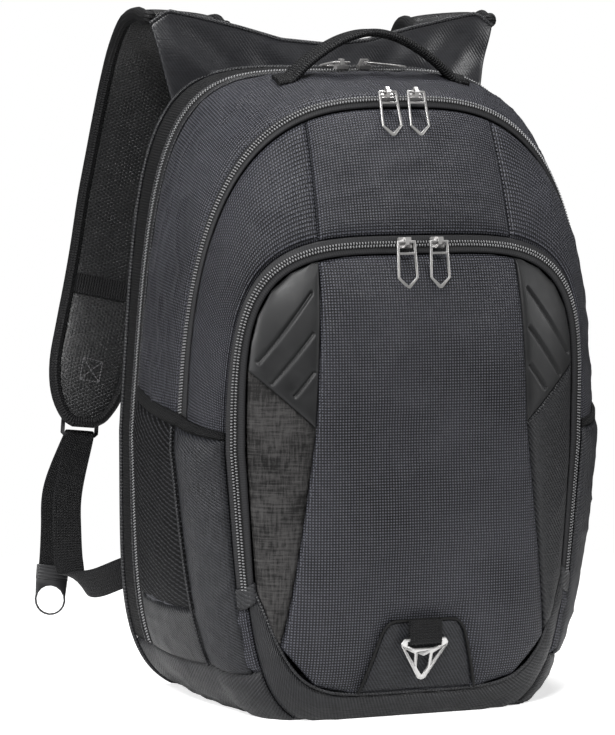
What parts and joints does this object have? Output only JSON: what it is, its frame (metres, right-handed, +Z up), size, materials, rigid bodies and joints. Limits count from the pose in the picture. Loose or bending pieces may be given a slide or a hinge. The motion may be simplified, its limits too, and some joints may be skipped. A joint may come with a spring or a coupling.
{
  "type": "laptop backpack",
  "caption": "Dark charcoal laptop backpack with zipped compartments, mesh side pockets, padded shoulder straps, a grab handle and a triangular silver ring.",
  "frame": {"origin": "centre of the bounding box at the ground, below the standing bag", "axes": "+Z up, +X to the right seen from the front, -Y out of the front pocket, +Y out of the back panel and straps"},
  "size_m": [0.424, 0.3346, 0.5231],
  "materials": {
    "mesh": "matte",
    "webbing": "matte",
    "dobby": "matte",
    "plain": "satin",
    "coil": "satin",
    "heather": "matte",
    "trim": "matte",
    "silver": "polished",
    "plastic": "matte",
    "gunmetal": "satin"
  },
  "bodies": {
    "bag": {"adjuster_L": "webbing", "adjuster_R": "webbing", "back_panel": "mesh", "base_panel": "plain", "buckle_loop_L": "webbing", "buckle_loop_R": "webbing", "front_hem": "plain", "front_slider_L": "gunmetal", "front_slider_R": "gunmetal", "front_zip": "coil", "handle": "webbing", "ladder_lock_L": "plastic", "ladder_lock_R": "plastic", "loop_patch": "dobby", "main_gusset": "dobby", "main_slider_L": "gunmetal", "main_slider_R": "gunmetal", "main_zip": "coil", "pocket_panel_centre": "dobby", "pocket_side_L": "heather", "pocket_side_R": "plain", "pocket_trim_L": "trim", "pocket_trim_R": "trim", "pull_tab_L": "plastic", "pull_tab_R": "plastic", "rear_gusset": "webbing", "rear_slider_L": "gunmetal", "rear_slider_R": "gunmetal", "rear_zip": "coil", "ring_loop": "webbing", "side_pocket_band_L": "webbing", "side_pocket_band_R": "webbing", "side_pocket_cloth_L": "dobby", "side_pocket_cloth_R": "dobby", "side_pocket_foot_L": "plain", "side_pocket_foot_R": "plain", "side_pocket_mesh_L": "mesh", "side_pocket_mesh_R": "mesh", "strap_L": "mesh", "strap_R": "mesh", "strap_keeper_L": "webbing", "strap_keeper_R": "webbing", "upper_panel_L": "dobby", "upper_panel_R": "dobby", "upper_panel_centre": "dobby", "yoke": "plain"},
    "front_puller_L": {"front_puller_L": "gunmetal"},
    "front_puller_R": {"front_puller_R": "gunmetal"},
    "main_puller_L": {"main_puller_L": "gunmetal"},
    "main_puller_R": {"main_puller_R": "gunmetal"},
    "rear_puller_L": {"rear_puller_L": "gunmetal"},
    "rear_puller_R": {"rear_puller_R": "gunmetal"},
    "triangle_ring": {"triangle_ring": "silver"}
  },
  "joints": [
    {"name": "front_puller_L_swing", "type": "hinge", "parent": "bag", "child": "front_puller_L", "pos_m": [-0.01268, -0.15649, 0.35102], "axis": [-0.9997, 0.0247, -0.0078], "range_deg": [0, 110]},
    {"name": "front_puller_R_swing", "type": "hinge", "parent": "bag", "child": "front_puller_R", "pos_m": [0.01268, -0.15649, 0.35102], "axis": [-0.9997, -0.0247, 0.0078], "range_deg": [0, 110]},
    {"name": "main_puller_L_swing", "type": "hinge", "parent": "bag", "child": "main_puller_L", "pos_m": [-0.01114, -0.11434, 0.45883], "axis": [-0.9998, 0.0131, -0.0149], "range_deg": [0, 110]},
    {"name": "main_puller_R_swing", "type": "hinge", "parent": "bag", "child": "main_puller_R", "pos_m": [0.01114, -0.11434, 0.45883], "axis": [-0.9998, -0.0131, 0.0149], "range_deg": [0, 110]},
    {"name": "rear_puller_L_swing", "type": "hinge", "parent": "bag", "child": "rear_puller_L", "pos_m": [-0.01001, -0.01453, 0.48113], "axis": [1, -0.0001, 0.0016], "range_deg": [0, 100]},
    {"name": "rear_puller_R_swing", "type": "hinge", "parent": "bag", "child": "rear_puller_R", "pos_m": [0.00851, -0.01457, 0.48113], "axis": [0, -0.998, -0.0636], "range_deg": [0, 100]},
    {"name": "triangle_ring_swing", "type": "hinge", "parent": "bag", "child": "triangle_ring", "pos_m": [0, -0.16361, 0.06086], "axis": [-1, 0, 0], "range_deg": [0, 100]}
  ]
}
